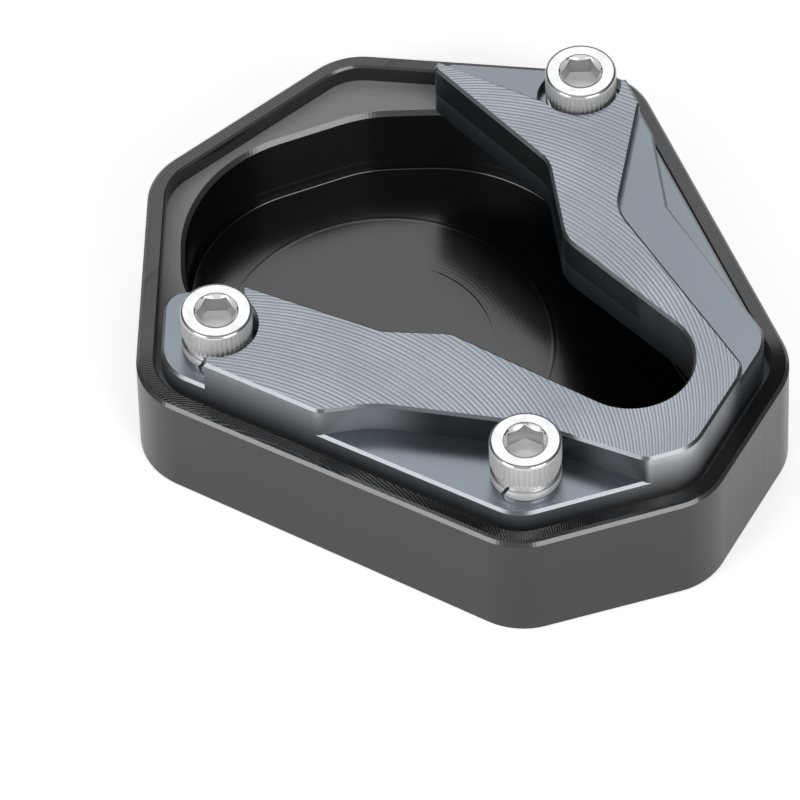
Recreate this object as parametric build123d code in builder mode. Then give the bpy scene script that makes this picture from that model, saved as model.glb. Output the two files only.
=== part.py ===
"""Kickstand foot enlarger: a wedge shaped ground plate with a bolted hook plate on top.

Sizes are in mm. The underside lies flat on z = 0, +Z is up and +X is to the right when the
open end of the slot points to the back left. The origin is the centre of the seven sided
outline. The deck, meaning every machined level above the underside, leans a little, so all
sketches lie on planes parallel to it and heights are counted along its normal.
"""

import os
from math import acos, degrees

from build123d import *

os.makedirs("parts", exist_ok=True)

# Lean of the deck about X and about Y, in degrees
deck_lean_x = -1.45
deck_lean_y = -1.21

# Heights over the underside, measured at the origin along the deck's normal
pocket_floor_z = 2.8
ledge_z = 14.9
rim_z = 17.9
plate_t = 9.0
right_step_drop = 1.6
rear_step_drop = 3.4
seat_drop = 5.0

# Ground plate
pad_corners = [
    (-43.3, 24.2),
    (-45.8, -15.5),
    (6.1, -45.7),
    (33.2, -37.7),
    (46.3, -14.3),
    (25.5, 40.3),
    (-15.9, 45.7),
]
pad_corner_r = 10.0
pad_foot_chamfer = 0.4
rim_w = 2.6
rim_outer_chamfer = 0.8
rim_inner_chamfer = 0.3

# Pocket for the stand's foot: corners of its wall with their radii
pocket_corners = [
    ((-38.5, 26.6), 21.0),
    ((-12.7, 36.2), 20.4),
    ((11.2, 36.2), 24.4),
    ((36.9, -15.2), 10.4),
    ((26.2, -32.3), 9.4),
    ((-4.7, -12.8), 12.6),
    ((-38.5, -0.3), 13.0),
]
pocket_chamfer = 0.6
pocket_foot_r = 1.8

# Hook plate: its gaps to the recess wall, side by side, starting with the left side
plate_gaps = [0.9, 1.8, 1.9, 1.15, 0.75, 0.45, 0.9]
plate_corner_r = 6.5
plate_chamfer = 0.4
tip_front = (-2.8, 36.8)
tip_back = (-0.4, 40.6)
tip_corner_r = 1.0
slot_bends = [
    ((12.85, 18.75), 5.0),
    ((14.65, 4.6), 6.0),
]
slot_end = (23.1, -17.3)
slot_end_r = 8.75
slot_return_bends = [
    ((-1.5, -11.8), 4.0),
    ((-11.1, -10.95), 4.0),
]
slot_mouth = (-47.0, 5.9)
hook_corner = (-42.0, 3.5)
hook_corner_r = 3.3
right_step_line = [
    ((27.25, 34.6), 0.0),
    ((22.35, 9.75), 6.0),
    ((38.6, -19.0), 2.0),
    ((37.0, -25.0), 0.0),
]
outer_step_line = [
    ((26.7, 35.8), 0.0),
    ((29.4, 11.2), 0.5),
    ((44.1, -16.2), 0.0),
]
rear_seat_corner = (17.7, 33.8)
rear_seat_side = (40.0, 33.8)
rear_seat_back = (17.7, 60.0)
rear_step_line = [
    ((-8.9, 41.75), 0.0),
    ((12.8, 30.05), 0.0),
    (rear_seat_corner, 0.0),
    (rear_seat_side, 0.0),
]
rear_seat_line = [
    (rear_seat_back, 0.0),
    (rear_seat_corner, 0.0),
    (rear_seat_side, 0.0),
]
front_step_line = [
    ((-25.0, -26.0), 0.0),
    ((-12.6, -24.26), 15.0),
    ((8.8, -28.5), 5.0),
    ((32.0, -38.8), 0.0),
]
front_step_ends = [
    ((-22.3, -25.2), 2.5),
    ((24.6, -35.5), 2.5),
]
outer_step_ends = [
    ((41.6, -11.5), 3.0),
]
left_step_line = [
    ((-30.4, 8.0), 0.0),
    ((-30.4, -8.0), 0.0),
    ((-35.9, -12.0), 0.0),
    ((-35.9, -30.0), 0.0),
]

# Screws: name, place on the deck, turn of the socket, azimuth of the lock washer's split
screw_spots = [
    ("left", (-34.0, -8.35), 0.0, -116.7),
    ("front", (8.1, -33.15), 30.0, -128.7),
    ("rear", (18.0, 33.45), 0.0, 60.0),
]
seat_centres = [(-34.1, -9.0), (8.0, -33.8), (17.7, 33.15)]
thread_d = 6.0
thread_play = 0.1
thread_hole_depth = 9.0
clearance_hole_play = 0.6
seat_play = 1.0
screw_length = 12.0
screw_point_chamfer = 0.6
head_d = 10.1
head_h = 5.7
head_taper_h = 2.0
head_taper_in = 0.5
head_chamfer = 0.4
knurl_foot_h = 2.1
knurl_h = 3.05
knurl_count = 45
knurl_depth = 0.3
socket_across_flats = 5.0
socket_depth = 3.0
socket_mouth_d = 6.1
socket_cone_h = 0.45
washer_d = 10.0
washer_bore_play = 0.2
washer_t = 1.5
washer_split_w = 0.7

deck = Plane.XY.rotated((deck_lean_x, deck_lean_y, 0))
up = Axis((0, 0, 0), tuple(deck.z_dir))
plate_top_z = ledge_z + plate_t
seat_z = plate_top_z - seat_drop
far = 70.0


def deck_plane(height, spot, azimuth=0.0):
    """A plane parallel to the deck at a height, turned by an azimuth, its origin over a spot."""
    return Plane(
        origin=deck.from_local_coords((spot[0], spot[1], height)),
        x_dir=deck.x_dir.rotate(up, azimuth),
        z_dir=deck.z_dir,
    )


def round_polyline(corners):
    """An open line through corners, each of them given as a point and a radius."""
    points = [point for point, radius in corners]
    radii = [radius for point, radius in corners[1:-1]]
    return FilletPolyline(*points, radius=radii)


def touch_point(outside, centre, radius, side):
    """Where a line from an outside point touches a circle, on the left (1) or right (-1)."""
    toward = Vector(*outside) - Vector(*centre)
    turn = side * degrees(acos(radius / toward.length))
    return Vector(*centre) + toward.normalized().rotate(Axis.Z, turn) * radius


def inset_corners(corners, insets):
    """The corners of an outline whose sides run inside another's, each by its own inset."""
    sides = []
    for index, inset in enumerate(insets):
        start = Vector(*corners[index])
        along = (Vector(*corners[(index + 1) % len(corners)]) - start).normalized()
        sides.append((start + along.rotate(Axis.Z, 90) * inset, along))
    inner = []
    for index, (start, along) in enumerate(sides):
        before_start, before_along = sides[index - 1]
        reach = (before_start - start).cross(before_along).Z / along.cross(before_along).Z
        inner.append(start + along * reach)
    return inner


def area_beyond(corners, far_corners):
    """The area between a rounded line and the straight lines through far corners."""
    with BuildSketch() as area:
        with BuildLine():
            round_polyline(corners)
            Polyline(corners[-1][0], *far_corners, corners[0][0])
        make_face()
    return area.sketch


# Ground plate: a slab on the deck's plane, recessed, pocketed, and cut level below
with BuildPart() as base_pad:
    with BuildSketch(deck.offset(-pocket_floor_z)) as pad_outline:
        Polygon(*pad_corners, align=None)
        fillet(pad_outline.vertices(), pad_corner_r)
    extrude(amount=pocket_floor_z + rim_z)
    chamfer(base_pad.edges().group_by(up)[-1], rim_outer_chamfer)

    with BuildSketch(deck.offset(rim_z)) as recess_outline:
        Polygon(*pad_corners, align=None)
        fillet(recess_outline.vertices(), pad_corner_r)
        offset(amount=-rim_w, mode=Mode.REPLACE)
    extrude(amount=ledge_z - rim_z, mode=Mode.SUBTRACT)
    rim_face = base_pad.faces().sort_by(up)[-1]
    chamfer(rim_face.inner_wires().edges(), rim_inner_chamfer)

    with BuildSketch(deck.offset(ledge_z)):
        with BuildLine():
            FilletPolyline(
                *[point for point, radius in pocket_corners],
                radius=[radius for point, radius in pocket_corners],
                close=True,
            )
        make_face()
    extrude(amount=pocket_floor_z - ledge_z, mode=Mode.SUBTRACT)
    pocket_edges = base_pad.edges(Select.LAST)
    chamfer(pocket_edges.group_by(up)[-1], pocket_chamfer)
    pocket_floor = base_pad.faces().filter_by(up).sort_by(up)[1]
    fillet(pocket_floor.edges(), pocket_foot_r)

    with BuildSketch(deck.offset(ledge_z)):
        with Locations([spot for name, spot, turn, split in screw_spots]):
            Circle((thread_d + thread_play) / 2)
    extrude(amount=-thread_hole_depth, mode=Mode.SUBTRACT)

    split(bisect_by=Plane.XY, keep=Keep.TOP)
    chamfer(base_pad.edges().group_by(Axis.Z)[0], pad_foot_chamfer)

base_pad.part.label = "base_pad"
export_step(base_pad.part, "parts/base_pad.step")


# Hook plate: an outline that follows the recess, less the slot, then stepped
plate_corners = inset_corners(pad_corners, [rim_w + gap for gap in plate_gaps])
tip_side = Vector(*tip_back) - Vector(*tip_front)
beyond_tip = Vector(*tip_front) + tip_side.normalized() * far
with BuildSketch() as plate_outline:
    Polygon(*plate_corners, align=None)
    fillet(plate_outline.vertices(), plate_corner_r)
    with BuildLine():
        slot_in = touch_point(slot_bends[-1][0], slot_end, slot_end_r, -1)
        slot_out = touch_point(slot_return_bends[0][0], slot_end, slot_end_r, 1)
        way_in = [(beyond_tip, 0.0), (tip_front, tip_corner_r)] + slot_bends + [(slot_in, 0.0)]
        way_out = [(slot_out, 0.0)] + slot_return_bends + [(slot_mouth, 0.0)]
        round_polyline(way_in)
        RadiusArc(slot_in, slot_out, slot_end_r)
        round_polyline(way_out)
        Polyline(slot_mouth, (-far, far), beyond_tip)
    make_face(mode=Mode.SUBTRACT)
    fillet(plate_outline.vertices().sort_by_distance(hook_corner)[0], hook_corner_r)
    fillet(plate_outline.vertices().sort_by_distance(tip_back)[0], tip_corner_r)

# The plate's levels from the lowest up: the drop from the top, what is milled away below
# the level, and the corners that the cutter leaves round
plate_levels = [
    (seat_drop, [], []),
    (
        rear_step_drop,
        [
            area_beyond(front_step_line, [(far, -far), (-far, -far)]),
            area_beyond(left_step_line, [(-far, -far), (-far, far)]),
            area_beyond(rear_seat_line, [(far, far)]),
        ],
        front_step_ends,
    ),
    (
        right_step_drop,
        [
            area_beyond(rear_step_line, [(far, far), (-far, far)]),
            area_beyond(outer_step_line, [(far, -far), (far, far)]),
        ],
        front_step_ends + outer_step_ends,
    ),
    (0.0, [area_beyond(right_step_line, [(far, -far), (far, far)])], front_step_ends),
]
milled = []
plate_blocks = []
for drop, areas, round_corners in plate_levels:
    milled += areas
    with BuildPart() as block:
        with BuildSketch(deck.offset(ledge_z)) as level:
            add(plate_outline.sketch)
            if milled:
                add(milled, mode=Mode.SUBTRACT)
            for corner, radius in round_corners:
                fillet(level.vertices().sort_by_distance(corner)[0], radius)
        extrude(amount=plate_t - drop)
        chamfer(block.edges().group_by(up)[-1], plate_chamfer)
    plate_blocks.append(block.part)

with BuildPart() as clamp_plate:
    add(plate_blocks)
    with BuildSketch(deck.offset(seat_z)):
        with Locations(seat_centres):
            Circle(washer_d / 2 + seat_play)
    extrude(amount=plate_t, mode=Mode.SUBTRACT)
    with BuildSketch(deck.offset(ledge_z)):
        with Locations([spot for name, spot, turn, split in screw_spots]):
            Circle((thread_d + clearance_hole_play) / 2)
    extrude(amount=plate_t, mode=Mode.SUBTRACT)

clamp_plate.part.label = "clamp_plate"
export_step(clamp_plate.part, "parts/clamp_plate.step")


# Screws and lock washers, one of each on every seat
washer_top_z = seat_z + washer_t
head_top_z = washer_top_z + head_h
for name, spot, socket_turn, split_azimuth in screw_spots:
    seat_plane = deck_plane(seat_z, spot, split_azimuth)
    split_plane = Plane(seat_plane.origin, x_dir=seat_plane.y_dir, z_dir=seat_plane.x_dir)

    with BuildPart() as lock_washer:
        with BuildSketch(seat_plane):
            Circle(washer_d / 2)
            Circle((thread_d + washer_bore_play) / 2, mode=Mode.SUBTRACT)
        extrude(amount=washer_t)
        with BuildSketch(split_plane):
            Polygon(
                (-washer_split_w, 0),
                (0, 0),
                (washer_split_w, washer_t),
                (0, washer_t),
                align=None,
            )
        extrude(amount=washer_d, mode=Mode.SUBTRACT)
    lock_washer.part.label = "lock_washer_" + name
    export_step(lock_washer.part, "parts/lock_washer_" + name + ".step")

    with BuildPart() as cap_screw:
        with BuildSketch(deck_plane(washer_top_z, spot)):
            Circle(head_d / 2)
        extrude(amount=head_h)
        chamfer(cap_screw.edges().group_by(up)[-1], head_chamfer)
        chamfer(
            cap_screw.edges().group_by(up)[0],
            length=head_taper_h,
            length2=head_taper_in,
        )
        with BuildSketch(deck_plane(washer_top_z + knurl_foot_h, spot)):
            with PolarLocations(head_d / 2, knurl_count):
                RegularPolygon(knurl_depth, 4)
        extrude(amount=knurl_h, mode=Mode.SUBTRACT)
        with BuildSketch(deck_plane(head_top_z, spot)):
            RegularPolygon(socket_across_flats / 2, 6, major_radius=False, rotation=socket_turn)
        extrude(amount=-socket_depth, mode=Mode.SUBTRACT)
        with BuildSketch(deck_plane(head_top_z, spot)):
            Circle(socket_mouth_d / 2)
        extrude(amount=-socket_cone_h, taper=45, mode=Mode.SUBTRACT)
        with BuildSketch(deck_plane(washer_top_z, spot)):
            Circle(thread_d / 2)
        extrude(amount=-screw_length)
        chamfer(cap_screw.edges().group_by(up)[0], screw_point_chamfer)
    cap_screw.part.label = "cap_screw_" + name
    export_step(cap_screw.part, "parts/cap_screw_" + name + ".step")
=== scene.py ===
"""Looks of the kickstand foot enlarger: materials, detailed screws and washers, light, floor, camera."""
import math
import random
from functools import cached_property

import bmesh
import bpy
from mathutils import Matrix, Vector


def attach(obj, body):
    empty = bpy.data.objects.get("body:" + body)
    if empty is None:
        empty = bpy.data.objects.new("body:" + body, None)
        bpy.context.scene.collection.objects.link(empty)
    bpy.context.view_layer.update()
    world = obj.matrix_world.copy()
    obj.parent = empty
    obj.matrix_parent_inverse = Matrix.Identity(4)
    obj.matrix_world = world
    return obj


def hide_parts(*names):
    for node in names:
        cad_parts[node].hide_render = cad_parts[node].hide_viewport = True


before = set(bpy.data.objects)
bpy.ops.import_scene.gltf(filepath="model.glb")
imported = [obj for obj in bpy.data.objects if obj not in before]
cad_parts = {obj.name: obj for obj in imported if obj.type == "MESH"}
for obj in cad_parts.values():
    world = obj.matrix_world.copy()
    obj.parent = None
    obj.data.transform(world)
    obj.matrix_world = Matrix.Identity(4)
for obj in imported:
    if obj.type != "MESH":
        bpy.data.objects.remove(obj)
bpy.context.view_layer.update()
scene = bpy.context.scene
MM = 0.001

# The deck, as in the part's source: every level is parallel to it. Heights in millimetres above its origin
DECK = Matrix.Rotation(math.radians(-1.45), 3, "X") @ Matrix.Rotation(math.radians(-1.21), 3, "Y")
UP = DECK @ Vector((0, 0, 1))
PLATE_TOP_Z = 23.9
SEAT_Z = 18.9
LEDGE_Z = 14.9
RIM_Z = 17.9

# The ground plate's outline
PAD_CORNERS = [
    (-43.3, 24.2),
    (-45.8, -15.5),
    (6.1, -45.7),
    (33.2, -37.7),
    (46.3, -14.3),
    (25.5, 40.3),
    (-15.9, 45.7),
]

# Each screw's place, and the turns of its socket and of its washer's split in degrees
SCREWS = {
    "left": ((-34.0, -8.35), 0.0, -116.7),
    "front": ((8.1, -33.15), 30.0, -128.7),
    "rear": ((18.0, 33.45), 0.0, 60.0),
}

# Camera: the photograph's angle, distance and field of view
CAM_ELEVATION = math.radians(50.816)
CAM_ROLL = math.radians(-1.764)
CAM_PLACE = (-8.9, -935.49, 1142.61)
CAM_CLIP = (0.1, 20.0)
FOCAL_PX = 10478.0
IMAGE_PX = 800.0
SENSOR_MM = 36.0

# The surface's tilt is 1 where it is level with the deck and 0 where it stands upright. Here and below,
# a pair of limits gives where a soft change starts and ends, and two more numbers its values there
FLAT_TILT = (0.985, 0.998)
CHAMFER_TILT = (0.55, 0.85)
CHAMFER_SOFT = 0.04
WALL_TILT = (0.35, 0.10)
FILLET_TILT = (0.012, 0.994)
FILLET_SOFT = 0.004
NEAR_WALL_TILT = (0.66, 0.70, 1.0, 0.0)
NEAR_FLOOR_TILT = (0.72, 0.76)
STEEL_SIDE_TILT = (0.75, 0.30)
SOCKET_BOTTOM_TILT = (0.50, 0.66)
LEVEL_REACH = 0.2
LEVEL_SOFT = 0.05

# Noise: scale and detail. The middle part of its range is used, and MIDDLE is that of most of it
FINE_GRAIN = (2600.0, 3.0)
SOCKET_GRAIN = (1500.0, 3.0)
STEEL_SPOTS = (600.0, 2.0)
WOBBLE_NOISE = (160.0, 2.0)
FADE_NOISE = (70.0, 2.0)
PLATE_CLOUD = (45.0, 3.0)
BASE_CLOUD = (40.0, 3.0)
FLOOR_GRAIN = (40.0, 2.0)
STREAK_NOISE = (1.6, 3.0)
UPRIGHT_NOISE = (1.6, 2.0)
STREAK_SQUEEZE = 0.02
UPRIGHT_SQUEEZE = 0.05
MIDDLE = (0.3, 0.7)
FADE_MIDDLE = (0.25, 0.75)
STREAK_MIDDLE = (0.35, 0.65)
SPOT_MIDDLE = (0.35, 0.75)

# Milling marks: the mill's centre moved at an angle to the deck's x, beside the origin, and cut arcs
MILL_ANGLE = math.radians(47.9)
MILL_R = 44.1
MILL_OFFSET = -8.32
MILL_WOBBLE = 0.12
PLATE_PITCH = 0.633
RIM_PITCH = 0.45
CHATTER_PITCH = 0.5

# Rings on the pocket's floor: a fine pitch and a few deep lines
RING_CENTRE = (-10.5, 3.5)
RING_PITCH = 0.55
RING_LINES = (8.5, 15.0, 23.5)
RING_LINE_W = 0.18
RING_LINE_DEPTH = 4.0
RING_FADE = (2.0, 24.0, 0.5, 0.15)

# Places on the grey plate, in the deck's millimetres. Its outer side lies beyond a line of this slope
OUTER_SLOPE = 0.30
OUTER_LINE = (-9.0, -15.0)
# The place and share of the painted highlight on the outer walls at the corner
CORNER_HIGHLIGHT_X = (12.0, 26.0, 0.0, 0.7)
STEP_START_X = (-13.0, -3.0)
STEP_MIDDLE_X = (20.0, 14.0, 0.66, 1.0)
STEP_END_X = (25.2, 24.2)
STEP_FOOT_Z = (SEAT_Z - 0.4, SEAT_Z)
# The heights and shares of the painted shade towards the walls' foot
WALL_SHADE_Z = (LEDGE_Z, PLATE_TOP_Z - 1.5, 0.78, 0.0)

# Places on the black base. The inset is the distance inside its outline
FRONT_Y = (-4.0, -17.0)
POCKET_TOP_Z = (LEDGE_Z - 0.5, LEDGE_Z - 0.7)
POCKET_INSET = 2.5
UPPER_CHAMFER_Z = (RIM_Z - 0.36, RIM_Z - 0.32)
OUTER_CHAMFER_INSET = (1.70, 1.64)
RIM_CHAMFER_Z = (RIM_Z - 1.2, RIM_Z - 1.0)
POCKET_CHAMFER_Z = (LEDGE_Z - 0.75, LEDGE_Z + 0.1)
POCKET_CHAMFER_SOFT = 0.02

# The normal that the front of the rim is shaded with
RIM_LEAN = tuple((DECK @ Vector((0.0, 0.22, 1.0))).normalized())


def rgb(red, green, blue):
    return (red, green, blue, 1.0)


# Colours of the grey plate. Its walls' colours are painted light and shade: lighter on the outer side, a
# painted highlight at the corner, and painted shade on the front step's wall and towards the walls' foot
PLATE_GROOVE = rgb(0.155, 0.177, 0.202)
PLATE_RIDGE = rgb(0.48, 0.52, 0.56)
PLATE_SATIN = (rgb(0.200, 0.228, 0.258), rgb(0.217, 0.247, 0.278))
PLATE_SPECK = rgb(0.30, 0.33, 0.36)
PLATE_EDGE = rgb(0.20, 0.215, 0.23)
OUTER_WALL_PAINTED_LIGHT = rgb(0.50, 0.54, 0.57)
CORNER_PAINTED_HIGHLIGHT = rgb(0.82, 0.86, 0.89)
STEP_WALL_PAINTED_SHADE = rgb(0.035, 0.045, 0.050)
WALL_FOOT_PAINTED_SHADE = rgb(0.020, 0.030, 0.034)

# Colours of the black base: pairs are mixed by grain, or go from the rear to the front of the rim, which
# is darker at the front by painted shade. The ledge's grey is a painted sheen, and the chamfers' grey a
# painted highlight
BASE_BLACK = (rgb(0.006, 0.006, 0.0065), rgb(0.016, 0.016, 0.017))
POCKET_BLACK = rgb(0.002, 0.002, 0.0022)
LEDGE_PAINTED_SHEEN = (rgb(0.25, 0.25, 0.251), rgb(0.32, 0.32, 0.321))
RIM_RIDGE_SHADED_FRONT = (rgb(0.085, 0.085, 0.087), rgb(0.008, 0.008, 0.0082))
RIM_GROOVE_SHADED_FRONT = (rgb(0.008, 0.008, 0.0085), rgb(0.002, 0.002, 0.0021))
EDGE_PAINTED_HIGHLIGHT = rgb(0.045, 0.045, 0.045)

# Colours of the steel parts and of the floor. The knurled sides' white is a painted sheen, the socket's
# darker walls are painted shade and its white bottom is painted light
STEEL = (rgb(0.74, 0.74, 0.745), rgb(0.62, 0.62, 0.63))
STEEL_SIDE_PAINTED_SHEEN = rgb(0.93, 0.93, 0.93)
SOCKET_WALL_PAINTED_SHADE = (rgb(0.50, 0.50, 0.505), rgb(0.62, 0.62, 0.625))
SOCKET_BOTTOM_PAINTED_LIGHT = rgb(0.97, 0.97, 0.97)
FLOOR_WHITE = (rgb(0.90, 0.90, 0.90), rgb(0.92, 0.92, 0.92))

# Shares that a colour is mixed in by. The outer and step shares are those of the painted light and shade
# on the plate's walls
SPECK_SHARE = 0.22
OUTER_LIGHT_SHARE = 0.5
STEP_SHADE_SHARE = 0.88
POCKET_SHARE = 0.85

# Roughness: pairs go from the low to the high value of grain or marks, or from the socket's walls to its
# bottom
PLATE_ROUGH = (0.21, 0.26)
PLATE_MARKS_ROUGH = (0.22, 0.32)
PLATE_WALL_ROUGH = 0.24
PLATE_CHAMFER_ROUGH = 0.28
BASE_ROUGH = (0.15, 0.19)
POCKET_CHAMFER_ROUGH = 0.13
RIM_CHAMFER_ROUGH = 0.15
LEDGE_ROUGH = 0.60
RIM_REAR_ROUGH = (0.30, 0.40)
RIM_FRONT_ROUGH = 0.12
STREAK_ROUGH = 0.07
CLOUD_ROUGH = (-0.01, 0.02)
STEEL_ROUGH = (0.10, 0.15)
SOCKET_ROUGH = (0.34, 0.25)
FLOOR_ROUGH = 0.9

# Metal: pairs are for the plate's inner and outer walls, the steel's top and side, and the socket's walls
# and bottom. The black base has an index of refraction instead
PLATE_METAL = 0.88
PLATE_WALL_METAL = (0.68, 0.45)
STEEL_METAL = (0.93, 0.34)
SOCKET_METAL = (0.80, 0.20)
BASE_IOR = 1.72

# Relief: the height in millimetres of 1 in the height maps, and what goes into them
PLATE_RELIEF = 0.006
BASE_RELIEF = 0.004
STEEL_RELIEF = 0.0008
SOCKET_RELIEF = 0.001
MARKS_FADE = (0.65, 1.0)
OTHER_MARKS = 0.10
PLATE_GRAIN_HEIGHT = 0.08
RIM_MARKS_HEIGHT = (1.0, 7.0)
RINGS_HEIGHT = 0.7
BASE_GRAIN_HEIGHT = 0.04
UPRIGHT_HEIGHT = 0.3
CHATTER_HEIGHT = 0.35

# A screw's head: radius and height from the underside up to the socket's countersunk mouth
HEAD_H = 5.7
HEAD_PROFILE = [
    (4.35, 0.00), (4.52, 0.06), (4.58, 0.16), (4.64, 0.40), (4.71, 0.65), (4.78, 0.90),
    (4.85, 1.15), (4.92, 1.40), (4.98, 1.65), (5.02, 1.90), (5.04, 2.20), (5.045, 2.70),
    (5.045, 3.30), (5.045, 3.90), (5.045, 4.50), (5.045, 4.90), (5.045, 5.05), (5.045, 5.15),
    (5.04, 5.25), (5.02, 5.34), (4.99, 5.43), (4.94, 5.50), (4.86, 5.58), (4.76, 5.65),
    (4.64, 5.69), (4.40, 5.695), (3.80, 5.69), (3.30, 5.68), (3.12, 5.67), (3.05, 5.64),
]
KNURLS = 45
KNURL_STEPS = 12
KNURL_DEPTH = 0.31
KNURL_SPREAD = (0.85, 1.12)
KNURL_SHARPNESS = 1.6
KNURL_LOW = (0.75, 1.25)
KNURL_HIGH = (5.05, 5.25)

# The hexagonal socket: shares of the hexagon's radius, and heights, from its mouth to its bottom
SOCKET_INNER_R = 2.5
SOCKET_DEPTH = 3.0
SOCKET_MOUTH_R = 2.95
SOCKET_PROFILE = [
    (0.996, 5.0),
    (0.990, 4.0),
    (0.985, HEAD_H - SOCKET_DEPTH + 0.1),
    (0.96, HEAD_H - SOCKET_DEPTH),
    (0.5, HEAD_H - SOCKET_DEPTH - 0.12),
]

# The shank with its thread
SHANK_LENGTH = 12.0
THREAD_R = 2.98
THREAD_DEPTH = 0.55
THREAD_PITCH = 1.0
THREAD_FLANK = 2.6
ROWS_PER_TURN = 10
POINT_LENGTH = 0.8
POINT_TAPER = 0.7

# The lock washer: its section as radius and height, half of its gap and the slant of the gap in radians
WASHER_T = 1.5
WASHER_SECTION = [
    (3.10, 0.12), (3.22, 0.0), (4.86, 0.0), (4.96, 0.05), (5.0, 0.16),
    (5.0, 1.30), (4.95, 1.43), (4.84, 1.5), (3.22, 1.5), (3.10, 1.38),
]
WASHER_STEPS = 160
WASHER_HALF_GAP = 0.055
WASHER_SLANT = 0.15

# Edges over these angles in degrees stay sharp
HEAD_SHARP = 32
SHANK_SHARP = 42
WASHER_SHARP = 35

# Studio, in metres. A softbox has a direction, a size and the brightness that a mirror shows
LAMP_DISTANCE = 0.9
LAMP_TARGET = Vector((0, 0, 0.01))
SOFTBOXES = {
    "back_softbox": ((-0.0156, 0.6245, 0.785), (0.66, 0.448), 1.42),
    "left_softbox": ((-0.66, -0.51, 0.55), (0.42, 0.34), 4.0),
    "right_softbox": ((0.46, -0.64, 0.59), (0.52, 0.34), 4.0),
}
FLOOR_HALF = 3
FLOOR_DROP = 0.00002
FLOOR_GLOW = 0.56
MIRROR_GLOW = 0.30
ROOM_LIGHT = 0.60
DIM_LIGHT = 0.08
LIT_SIDE = (-0.25, -0.80, 0.55)
LIT_RANGE = (0.05, 0.85)


def deck_point(x, y, z):
    """A point given in millimetres in the deck's own axes, in metres in the part's frame."""
    return (DECK @ Vector((x, y, z))) * MM


def add_object(name, data):
    made = bpy.data.objects.new(name, data)
    scene.collection.objects.link(made)
    return made


def add_camera():
    data = bpy.data.cameras.new("camera")
    data.sensor_width = SENSOR_MM
    data.lens = FOCAL_PX / IMAGE_PX * SENSOR_MM
    data.clip_start, data.clip_end = CAM_CLIP
    camera = add_object("camera", data)
    look = Vector((0, math.cos(CAM_ELEVATION), -math.sin(CAM_ELEVATION)))
    over = Vector((0, math.sin(CAM_ELEVATION), math.cos(CAM_ELEVATION)))
    side = Vector((1, 0, 0))
    cam_x = math.cos(CAM_ROLL) * side + math.sin(CAM_ROLL) * over
    cam_y = -math.sin(CAM_ROLL) * side + math.cos(CAM_ROLL) * over
    turn = Matrix((DECK @ cam_x, DECK @ cam_y, DECK @ -look)).transposed().to_4x4()
    camera.matrix_world = Matrix.Translation(deck_point(*CAM_PLACE)) @ turn
    scene.camera = camera


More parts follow.
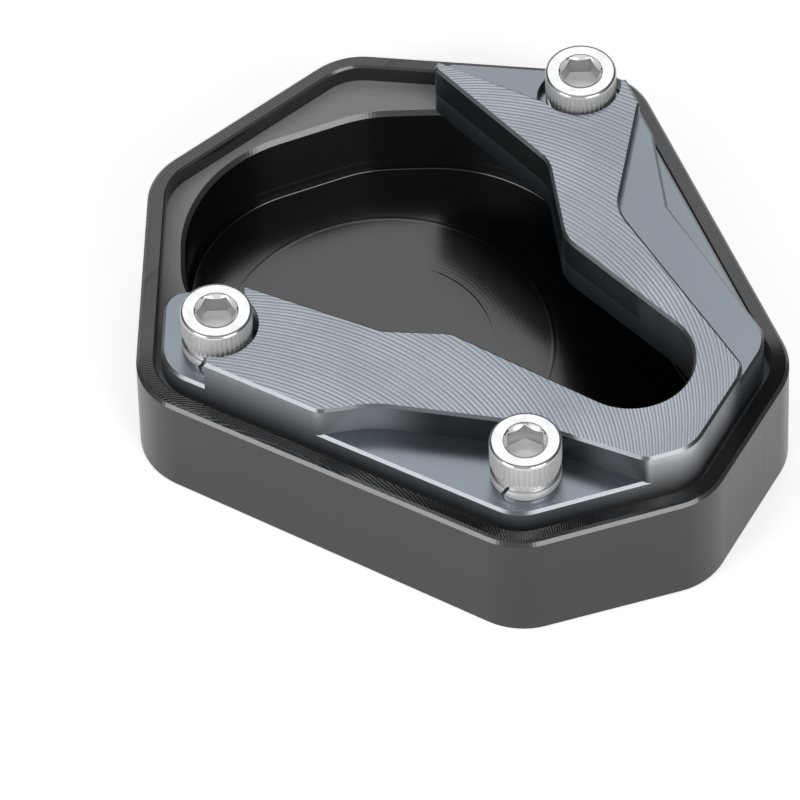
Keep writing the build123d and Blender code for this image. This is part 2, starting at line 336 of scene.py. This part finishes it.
class Graph:
    """Short calls for the nodes of one material, or of the world."""

    def __init__(self, owner):
        self.owner = owner
        owner.use_nodes = True
        self.tree = owner.node_tree
        self.tree.nodes.clear()

    def node(self, kind, **settings):
        made = self.tree.nodes.new(kind)
        for key, value in settings.items():
            setattr(made, key, value)
        return made

    def plug(self, source, target):
        if isinstance(source, bpy.types.NodeSocket):
            self.tree.links.new(source, target)
        else:
            target.default_value = source

    def plug_all(self, sources, targets):
        for source, target in zip(sources, targets):
            self.plug(source, target)

    def math(self, operation, *values):
        made = self.node("ShaderNodeMath", operation=operation)
        self.plug_all(values, made.inputs)
        return made.outputs[0]

    def product(self, first, *others):
        for other in others:
            first = self.math("MULTIPLY", first, other)
        return first

    def total(self, first, *others):
        for other in others:
            first = self.math("ADD", first, other)
        return first

    def rest(self, share):
        return self.math("SUBTRACT", 1.0, share)

    def vector_math(self, operation, *values):
        made = self.node("ShaderNodeVectorMath", operation=operation)
        self.plug_all(values, made.inputs)
        return made.outputs["Value" if operation == "DOT_PRODUCT" else "Vector"]

    def remap(self, value, low, high, to_low=0.0, to_high=1.0, smooth=True):
        kind = "SMOOTHSTEP" if smooth else "LINEAR"
        made = self.node("ShaderNodeMapRange", interpolation_type=kind)
        self.plug_all((value, low, high, to_low, to_high), made.inputs)
        return made.outputs[0]

    def band(self, value, low, high, soft):
        """1 where value is from low to high."""
        rise = self.remap(value, low - soft, low + soft)
        fall = self.remap(value, high - soft, high + soft, 1.0, 0.0)
        return self.product(rise, fall)

    def wave(self, phase):
        """A sine wave between 0 and 1."""
        return self.total(self.product(self.math("SINE", phase), 0.5), 0.5)

    def mix(self, factor, a, b):
        """Colour a where factor is 0 and b where it is 1."""
        made = self.node("ShaderNodeMix", data_type="RGBA")
        self.plug_all((factor, a, b), (made.inputs["Factor"], made.inputs[6], made.inputs[7]))
        return made.outputs[2]

    def blend(self, factor, a, b):
        """Number a where factor is 0 and b where it is 1."""
        made = self.node("ShaderNodeMix", data_type="FLOAT")
        self.plug_all((factor, a, b), (made.inputs["Factor"], made.inputs[2], made.inputs[3]))
        return made.outputs[0]

    def noise(self, scale, detail, vector=None):
        made = self.node("ShaderNodeTexNoise")
        self.plug(self.place if vector is None else vector, made.inputs["Vector"])
        made.inputs["Scale"].default_value = scale
        made.inputs["Detail"].default_value = detail
        return made.outputs["Fac"]

    @cached_property
    def place(self):
        return self.node("ShaderNodeTexCoord").outputs["Object"]

    @cached_property
    def axes(self):
        """The deck's coordinates x, y and z in millimetres."""
        columns = [tuple(DECK.col[index] / MM) for index in range(3)]
        return [self.vector_math("DOT_PRODUCT", self.place, column) for column in columns]

    @cached_property
    def normal(self):
        return self.node("ShaderNodeNewGeometry").outputs["Normal"]

    @cached_property
    def tilt(self):
        return self.vector_math("DOT_PRODUCT", self.normal, tuple(UP))

    @cached_property
    def flat(self):
        return self.remap(self.tilt, *FLAT_TILT)

    @cached_property
    def chamfer(self):
        return self.band(self.tilt, *CHAMFER_TILT, CHAMFER_SOFT)

    @cached_property
    def wall(self):
        return self.remap(self.tilt, *WALL_TILT)

    def level(self, height):
        """1 on the flat surface at a height."""
        near = self.band(self.axes[2], height - LEVEL_REACH, height + LEVEL_REACH, LEVEL_SOFT)
        return self.product(self.flat, near)

    def inset(self):
        """How far inside the ground plate's outline a point lies, in millimetres."""
        x, y = self.axes[:2]
        nearest = None
        for (ax, ay), (bx, by) in zip(PAD_CORNERS, PAD_CORNERS[1:] + PAD_CORNERS[:1]):
            length = math.hypot(bx - ax, by - ay)
            in_x, in_y = -(by - ay) / length, (bx - ax) / length
            away = self.total(self.product(x, in_x), self.product(y, in_y), -(in_x * ax + in_y * ay))
            nearest = away if nearest is None else self.math("MINIMUM", nearest, away)
        return nearest

    def squeezed(self, share):
        """The deck's coordinates squeezed along its normal, for streaks that run up a wall."""
        x, y, z = self.axes
        made = self.node("ShaderNodeCombineXYZ")
        self.plug_all((x, y, self.product(z, share)), made.inputs)
        return made.outputs[0]

    def turned(self, normal, way, part):
        """The normal turned to another direction, by a share of the way."""
        made = self.node("ShaderNodeMix", data_type="VECTOR")
        self.plug_all((part, normal, way), (made.inputs["Factor"], made.inputs[4], made.inputs[5]))
        return self.vector_math("NORMALIZE", made.outputs[1])

    def squared_corner(self, fillet, upward):
        """The normal, turned on a small fillet to that of its floor or its wall, whichever is nearer.

        Where upward is 1, the normal is the deck's own."""
        rise = self.node("ShaderNodeVectorMath", operation="SCALE")
        self.plug(tuple(UP), rise.inputs[0])
        self.plug(self.tilt, rise.inputs["Scale"])
        outward = self.vector_math("SUBTRACT", self.normal, rise.outputs[0])
        to_wall = self.product(fillet, self.remap(self.tilt, *NEAR_WALL_TILT))
        to_floor = self.product(fillet, self.remap(self.tilt, *NEAR_FLOOR_TILT))
        normal = self.turned(self.normal, outward, to_wall)
        return self.turned(normal, tuple(UP), self.math("MAXIMUM", to_floor, upward))

    def bump(self, height, millimetres, normal=None):
        made = self.node("ShaderNodeBump")
        self.plug(height, made.inputs["Height"])
        self.plug(millimetres * MM, made.inputs["Distance"])
        self.plug(1.0, made.inputs["Strength"])
        if normal is not None:
            self.plug(normal, made.inputs["Normal"])
        return made.outputs[0]

    def finish(self, **sockets):
        """Joins the values to a shader and gives the finished material."""
        shader = self.node("ShaderNodeBsdfPrincipled")
        for key, value in sockets.items():
            self.plug(value, shader.inputs[key.replace("_", " ")])
        output = self.node("ShaderNodeOutputMaterial")
        self.plug(shader.outputs[0], output.inputs["Surface"])
        return self.owner


def material_graph(name):
    return Graph(bpy.data.materials.new(name))


def mill_phase(graph, pitch):
    """The phase of the marks that the face mill left: how far along its feed it stood at each cut."""
    along_x, along_y = math.cos(MILL_ANGLE), math.sin(MILL_ANGLE)
    x, y = graph.axes[:2]
    far = graph.total(graph.product(x, along_x), graph.product(y, along_y))
    wide = graph.total(graph.product(x, -along_y), graph.product(y, along_x), -MILL_OFFSET)
    reach = graph.math("SUBTRACT", MILL_R * MILL_R, graph.product(wide, wide))
    reach = graph.math("SQRT", graph.math("MAXIMUM", reach, 0.0))
    wobble = graph.product(graph.noise(*WOBBLE_NOISE), MILL_WOBBLE)
    return graph.product(graph.total(graph.math("SUBTRACT", far, reach), wobble), 2 * math.pi / pitch)


def grey_plate():
    """Anodised in blue grey: milling marks on the top level, satin levels below it, plain chamfers.

    The walls carry painted light and shade: lighter on the outer side, with a painted highlight at the
    corner, painted shade at the front step, and painted shade darker towards their foot."""
    graph = material_graph("grey_anodised_milled")
    x, y, z = graph.axes
    top = graph.level(PLATE_TOP_Z)
    grain = graph.noise(*FINE_GRAIN)
    phase = mill_phase(graph, PLATE_PITCH)
    every_other = graph.math("SINE", graph.product(phase, 0.5))
    wave = graph.total(graph.wave(phase), graph.product(every_other, OTHER_MARKS))
    fade = graph.remap(graph.noise(*FADE_NOISE), *FADE_MIDDLE, *MARKS_FADE)
    marks = graph.product(wave, top, fade)

    satin = graph.mix(graph.remap(graph.noise(*PLATE_CLOUD), *MIDDLE), *PLATE_SATIN)
    colour = graph.mix(marks, graph.mix(top, satin, PLATE_GROOVE), PLATE_RIDGE)
    colour = graph.mix(graph.remap(grain, *MIDDLE, 0.0, SPECK_SHARE), colour, PLATE_SPECK)
    colour = graph.mix(graph.chamfer, colour, PLATE_EDGE)
    step = graph.product(
        graph.remap(x, *STEP_START_X),
        graph.remap(x, *STEP_MIDDLE_X),
        graph.remap(x, *STEP_END_X),
        graph.remap(z, *STEP_FOOT_Z),
    )
    outer = graph.remap(graph.total(y, graph.product(x, OUTER_SLOPE)), *OUTER_LINE)
    outer = graph.product(outer, graph.rest(step))
    lit_outer_wall = graph.product(graph.wall, outer)
    # Painted light: the outer walls are made lighter
    colour = graph.mix(graph.product(lit_outer_wall, OUTER_LIGHT_SHARE), colour, OUTER_WALL_PAINTED_LIGHT)
    corner = graph.product(lit_outer_wall, graph.remap(x, *CORNER_HIGHLIGHT_X))
    # Painted highlight on the outer walls at the corner
    colour = graph.mix(corner, colour, CORNER_PAINTED_HIGHLIGHT)
    # Painted shade on the front step's wall
    colour = graph.mix(graph.product(step, graph.wall, STEP_SHADE_SHARE), colour, STEP_WALL_PAINTED_SHADE)
    # Painted shade, darker towards the walls' foot
    foot = graph.remap(z, *WALL_SHADE_Z)
    colour = graph.mix(graph.product(foot, graph.wall), colour, WALL_FOOT_PAINTED_SHADE)

    rough = graph.remap(grain, *MIDDLE, *PLATE_ROUGH)
    rough = graph.blend(top, rough, graph.remap(wave, 0.0, 1.0, *PLATE_MARKS_ROUGH, smooth=False))
    rough = graph.blend(graph.wall, rough, PLATE_WALL_ROUGH)
    rough = graph.blend(graph.chamfer, rough, PLATE_CHAMFER_ROUGH)
    metal = graph.blend(graph.wall, PLATE_METAL, graph.blend(outer, *PLATE_WALL_METAL))
    height = graph.total(marks, graph.product(grain, PLATE_GRAIN_HEIGHT))
    height = graph.product(height, graph.rest(graph.chamfer))
    normal = graph.bump(height, PLATE_RELIEF)
    return graph.finish(Base_Color=colour, Metallic=metal, Roughness=rough, Normal=normal)


def floor_rings(graph):
    """The height of the rings that the cutter left on the pocket's floor."""
    sides = [graph.math("SUBTRACT", axis, centre) for axis, centre in zip(graph.axes, RING_CENTRE)]
    ring = graph.math("SQRT", graph.total(*[graph.product(side, side) for side in sides]))
    turns = graph.math("SINE", graph.product(ring, 2 * math.pi / RING_PITCH))
    turns = graph.product(turns, graph.remap(ring, *RING_FADE))
    lines = graph.total(*[
        graph.band(ring, line - RING_LINE_W, line + RING_LINE_W, RING_LINE_W) for line in RING_LINES])
    return graph.total(turns, graph.product(lines, RING_LINE_DEPTH))


def black_base():
    """Anodised in black: marks on the rim with painted shade towards its front, a matt ledge whose grey is
    a painted sheen, a glossy pocket and chamfers lighter by a painted highlight.
    """
    graph = material_graph("black_anodised_milled")
    x, y, z = graph.axes
    ledge = graph.level(LEDGE_Z)
    front = graph.remap(y, *FRONT_Y)
    inset = graph.inset()
    pocket = graph.product(graph.remap(z, *POCKET_TOP_Z), graph.math("GREATER_THAN", inset, POCKET_INSET))

    # The outer chamfer's upper part is shaded as rim, so the bright line is as narrow as the real one
    upper = graph.product(
        graph.chamfer, graph.remap(z, *UPPER_CHAMFER_Z), graph.remap(inset, *OUTER_CHAMFER_INSET))
    rim = graph.math("MAXIMUM", graph.level(RIM_Z), upper)
    rim_edge = graph.product(graph.chamfer, graph.remap(z, *RIM_CHAMFER_Z), graph.rest(upper))
    pocket_edge = graph.product(graph.chamfer, graph.band(z, *POCKET_CHAMFER_Z, POCKET_CHAMFER_SOFT))
    edges = graph.math("MAXIMUM", rim_edge, pocket_edge)

    grain = graph.noise(*FINE_GRAIN)
    wave = graph.wave(mill_phase(graph, RIM_PITCH))
    rim_marks = graph.product(wave, rim)

    colour = graph.mix(grain, *BASE_BLACK)
    colour = graph.mix(graph.product(pocket, POCKET_SHARE), colour, POCKET_BLACK)
    # Painted sheen: the matt ledge is coloured grey
    colour = graph.mix(ledge, colour, graph.mix(grain, *LEDGE_PAINTED_SHEEN))
    # Milling marks on the rim, with painted shade that darkens its front
    rim_marks_and_shade = graph.mix(rim_marks, graph.mix(front, *RIM_GROOVE_SHADED_FRONT), graph.mix(front, *RIM_RIDGE_SHADED_FRONT))
    colour = graph.mix(rim, colour, rim_marks_and_shade)
    # Painted highlight: the chamfers are coloured lighter grey
    colour = graph.mix(edges, colour, EDGE_PAINTED_HIGHLIGHT)

    rough = graph.remap(grain, *MIDDLE, *BASE_ROUGH)
    rough = graph.blend(edges, rough, graph.blend(rim_edge, POCKET_CHAMFER_ROUGH, RIM_CHAMFER_ROUGH))
    streaks = graph.noise(*STREAK_NOISE, graph.squeezed(STREAK_SQUEEZE))
    streaks = graph.remap(streaks, *STREAK_MIDDLE)
    rough = graph.total(rough, graph.product(streaks, graph.wall, graph.rest(pocket), STREAK_ROUGH))
    rough = graph.blend(ledge, rough, LEDGE_ROUGH)
    rear_rough = graph.remap(wave, 0.0, 1.0, *RIM_REAR_ROUGH, smooth=False)
    rough = graph.blend(rim, rough, graph.blend(front, rear_rough, RIM_FRONT_ROUGH))
    rough = graph.total(rough, graph.remap(graph.noise(*BASE_CLOUD), *MIDDLE, *CLOUD_ROUGH))

    upright = graph.noise(*UPRIGHT_NOISE, graph.squeezed(UPRIGHT_SQUEEZE))
    chatter = graph.math("SINE", graph.product(x, 2 * math.pi / CHATTER_PITCH))
    height = graph.total(
        graph.product(rim_marks, graph.blend(front, *RIM_MARKS_HEIGHT)),
        graph.product(floor_rings(graph), graph.flat, pocket, RINGS_HEIGHT),
        graph.product(grain, BASE_GRAIN_HEIGHT),
        graph.product(upright, graph.wall, UPRIGHT_HEIGHT),
        graph.product(chatter, edges, CHATTER_HEIGHT),
    )
    fillet = graph.product(pocket, graph.band(graph.tilt, *FILLET_TILT, FILLET_SOFT))
    normal = graph.squared_corner(fillet, upper)
    normal = graph.turned(normal, RIM_LEAN, graph.product(rim, front))
    normal = graph.bump(height, BASE_RELIEF, normal)
    return graph.finish(Base_Color=colour, Roughness=rough, IOR=BASE_IOR, Normal=normal)


def bright_steel():
    """Bright plated steel, a little whiter on the knurled sides by a painted sheen."""
    graph = material_graph("bright_plated")
    grain = graph.noise(*FINE_GRAIN)
    spots = graph.noise(*STEEL_SPOTS)
    side = graph.remap(graph.tilt, *STEEL_SIDE_TILT)
    colour = graph.mix(graph.remap(spots, *SPOT_MIDDLE), *STEEL)
    return graph.finish(
        # Painted sheen: the knurled sides are coloured whiter
        Base_Color=graph.mix(side, colour, STEEL_SIDE_PAINTED_SHEEN),
        Metallic=graph.blend(side, *STEEL_METAL),
        Roughness=graph.remap(grain, *MIDDLE, *STEEL_ROUGH),
        Normal=graph.bump(graph.total(grain, spots), STEEL_RELIEF),
    )


def socket_steel():
    """The punched socket: satin walls darkened to grey by painted shade, and a bottom made bright by
    painted light.
    """
    graph = material_graph("punched_socket")
    grain = graph.noise(*SOCKET_GRAIN)
    bottom = graph.remap(graph.tilt, *SOCKET_BOTTOM_TILT)
    return graph.finish(
        # Painted shade darkens the walls and painted light brightens the bottom
        Base_Color=graph.mix(bottom, graph.mix(grain, *SOCKET_WALL_PAINTED_SHADE), SOCKET_BOTTOM_PAINTED_LIGHT),
        Metallic=graph.blend(bottom, *SOCKET_METAL),
        Roughness=graph.blend(bottom, *SOCKET_ROUGH),
        Normal=graph.bump(grain, SOCKET_RELIEF),
    )


def pale_floor():
    """White, with a glow for the camera's rays and a weaker one for mirrored rays."""
    graph = material_graph("floor_white")
    path = graph.node("ShaderNodeLightPath")
    glow = graph.math(
        "MAXIMUM",
        graph.product(path.outputs["Is Camera Ray"], FLOOR_GLOW),
        graph.product(path.outputs["Is Glossy Ray"], MIRROR_GLOW),
    )
    return graph.finish(
        Base_Color=graph.mix(graph.noise(*FLOOR_GRAIN), *FLOOR_WHITE),
        Roughness=FLOOR_ROUGH,
        Emission_Color=rgb(1, 1, 1),
        Emission_Strength=glow,
    )


def studio_world():
    """White where the camera looks, soft light from the front, and a dim room behind."""
    scene.world = bpy.data.worlds.new("world")
    graph = Graph(scene.world)
    place = graph.node("ShaderNodeTexCoord").outputs["Generated"]
    toward = graph.vector_math("DOT_PRODUCT", place, tuple(Vector(LIT_SIDE).normalized()))
    room = graph.remap(toward, *LIT_RANGE, DIM_LIGHT, ROOM_LIGHT)
    seen = graph.node("ShaderNodeLightPath").outputs["Is Camera Ray"]
    background = graph.node("ShaderNodeBackground")
    graph.plug(graph.blend(seen, room, 1.0), background.inputs["Strength"])
    output = graph.node("ShaderNodeOutputWorld")
    graph.plug(background.outputs[0], output.inputs["Surface"])


def dress(node, material):
    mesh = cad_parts[node].data
    mesh.materials.clear()
    mesh.materials.append(material)


def smooth_step(low, high, value):
    t = min(max((value - low) / (high - low), 0.0), 1.0)
    return t * t * (3 - 2 * t)


def hexagon_r(angle, turn):
    """The distance from the centre to the side of the hexagonal socket at an angle."""
    part = (angle - turn) % (math.pi / 3) - math.pi / 6
    return SOCKET_INNER_R / math.cos(part)


def ring(angles, sizes):
    """Points around the axis, from an angle, a radius and a height for each of them."""
    return [(r * math.cos(angle), r * math.sin(angle), z) for angle, (r, z) in zip(angles, sizes)]


def deck_row(work, spot, height, points):
    return [work.verts.new(deck_point(spot[0] + x, spot[1] + y, height + z)) for x, y, z in points]


def smooth_object(name, work, sharp_angle):
    """Makes an object of a mesh, smooth but for the edges over an angle."""
    bmesh.ops.recalc_face_normals(work, faces=work.faces)
    mesh = bpy.data.meshes.new(name)
    work.to_mesh(mesh)
    work.free()
    for face in mesh.polygons:
        face.use_smooth = True
    mesh.set_sharp_from_angle(angle=math.radians(sharp_angle))
    return add_object(name, mesh)


def ring_object(name, rings, spot, height, sharp_angle):
    """A closed object of rings of points, each ring joined to the next, placed on the deck."""
    work = bmesh.new()
    rows = [deck_row(work, spot, height, points) for points in rings]
    for below, above in zip(rows, rows[1:]):
        for index, vert in enumerate(below):
            after = (index + 1) % len(below)
            work.faces.new((vert, below[after], above[after], above[index]))
    for row, last in ((rows[0], False), (rows[-1], True)):
        middle = work.verts.new(sum((vert.co for vert in row), Vector()) / len(row))
        for index, vert in enumerate(row):
            after = row[(index + 1) % len(row)]
            work.faces.new((vert, after, middle) if last else (after, vert, middle))
    return smooth_object(name, work, sharp_angle)


def shank_rings(angles):
    """A threaded shank from its point up to the head."""
    rings = []
    for row in range(round(SHANK_LENGTH / THREAD_PITCH) * ROWS_PER_TURN + 1):
        z = -SHANK_LENGTH + row / ROWS_PER_TURN
        narrowing = POINT_TAPER * (1 - smooth_step(-SHANK_LENGTH, -SHANK_LENGTH + POINT_LENGTH, z))
        sizes = []
        for angle in angles:
            phase = (z / THREAD_PITCH - angle / (2 * math.pi)) % 1.0
            groove = 1.0 - min(abs(phase - 0.5) * THREAD_FLANK, 1.0)
            sizes.append((min(THREAD_R - THREAD_DEPTH * groove, THREAD_R - narrowing), z))
        rings.append(ring(angles, sizes))
    return rings


def head_rings(angles, turn, seed):
    """A knurled head from its underside over its rounded top and down into the socket."""
    draw = random.Random(seed)
    depths = [KNURL_DEPTH * draw.uniform(*KNURL_SPREAD) for _ in range(KNURLS)]
    rings = []
    for r, z in HEAD_PROFILE:
        window = smooth_step(*KNURL_LOW, z) * (1 - smooth_step(*KNURL_HIGH, z))
        sizes = []
        for index in range(len(angles)):
            part = (index % KNURL_STEPS) / KNURL_STEPS
            groove = (0.5 + 0.5 * math.cos(2 * math.pi * part)) ** KNURL_SHARPNESS
            sizes.append((r - depths[index // KNURL_STEPS] * groove * window, z))
        rings.append(ring(angles, sizes))

    mouth_r, mouth_z = HEAD_PROFILE[-1]
    hexagon = [hexagon_r(angle, turn) for angle in angles]
    for share in (0.5, 1.0):
        radii = [mouth_r + (side - mouth_r) * share for side in hexagon]
        rings.append(ring(angles, [(r, mouth_z - (mouth_r - r)) for r in radii]))
    for share, z in SOCKET_PROFILE:
        rings.append(ring(angles, [
            (side * share, min(z, mouth_z - (mouth_r - side) - 0.05)) for side in hexagon]))
    return rings


def cap_screw(name, spot, socket_turn, seed):
    """A knurled socket head with rounded edges, a countersunk hexagon and a threaded shank."""
    turn = math.radians(socket_turn)
    count = KNURLS * KNURL_STEPS
    angles = [turn + 2 * math.pi * index / count for index in range(count)]
    foot_z = SEAT_Z + WASHER_T
    head = ring_object(name, head_rings(angles, turn, seed), spot, foot_z, HEAD_SHARP)
    for face in head.data.polygons:
        middle = DECK.transposed() @ (face.center / MM)
        away = math.hypot(middle.x - spot[0], middle.y - spot[1])
        if away < SOCKET_MOUTH_R and middle.z > foot_z + HEAD_H - SOCKET_DEPTH - 0.3:
            face.material_index = 1
    shank = ring_object(name + "_shank", shank_rings(angles[::KNURL_STEPS]), spot, foot_z, SHANK_SHARP)
    return head, shank


def lock_washer(name, spot, split_angle):
    """A split spring washer: a ring of rounded section with a slanted gap."""
    work = bmesh.new()
    rows = []
    for step in range(WASHER_STEPS + 1):
        angles = []
        for r, z in WASHER_SECTION:
            lean = WASHER_SLANT * (z / WASHER_T - 0.5)
            start = math.radians(split_angle) + WASHER_HALF_GAP + lean
            end = math.radians(split_angle) + 2 * math.pi - WASHER_HALF_GAP + lean
            angles.append(start + (end - start) * step / WASHER_STEPS)
        rows.append(deck_row(work, spot, SEAT_Z, ring(angles, WASHER_SECTION)))
    for below, above in zip(rows, rows[1:]):
        for index, vert in enumerate(below):
            after = (index + 1) % len(below)
            work.faces.new((vert, above[index], above[after], below[after]))
    work.faces.new(rows[0])
    work.faces.new(rows[-1][::-1])
    return smooth_object(name, work, WASHER_SHARP)


def softbox(name, direction, size, radiance):
    """A rectangular lamp that looks at the part."""
    data = bpy.data.lights.new(name, "AREA")
    data.shape = "RECTANGLE"
    data.size, data.size_y = size
    data.energy = radiance * math.pi * size[0] * size[1]
    lamp = add_object(name, data)
    lamp.location = Vector(direction).normalized() * LAMP_DISTANCE
    lamp.rotation_euler = (LAMP_TARGET - lamp.location).to_track_quat("-Z", "Y").to_euler()


def add_floor():
    mesh = bpy.data.meshes.new("floor")
    corners = [(-1, -1), (1, -1), (1, 1), (-1, 1)]
    mesh.from_pydata([(x * FLOOR_HALF, y * FLOOR_HALF, 0) for x, y in corners], [], [(0, 1, 2, 3)])
    mesh.materials.append(pale_floor())
    floor = add_object("floor", mesh)
    floor.location.z = -FLOOR_DROP


add_camera()
dress("clamp_plate", grey_plate())
dress("base_pad", black_base())

# The detailed screws and washers take the place of the plain solids
steel_material = bright_steel()
socket_material = socket_steel()
for seed, (name, (spot, socket_turn, split_angle)) in enumerate(SCREWS.items()):
    head, shank = cap_screw("screw_head_" + name, spot, socket_turn, seed)
    washer = lock_washer("spring_washer_" + name, spot, split_angle)
    for piece, slot in ((head, "screw_steel"), (shank, "screw_steel"), (washer, "washer_steel")):
        piece.data.materials.append(steel_material)
        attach(piece, "root")
    head.data.materials.append(socket_material)
    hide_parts("cap_screw_" + name)
    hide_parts("lock_washer_" + name)

for name, (direction, size, radiance) in SOFTBOXES.items():
    softbox(name, direction, size, radiance)
add_floor()
studio_world()

scene.view_settings.view_transform = "Standard"
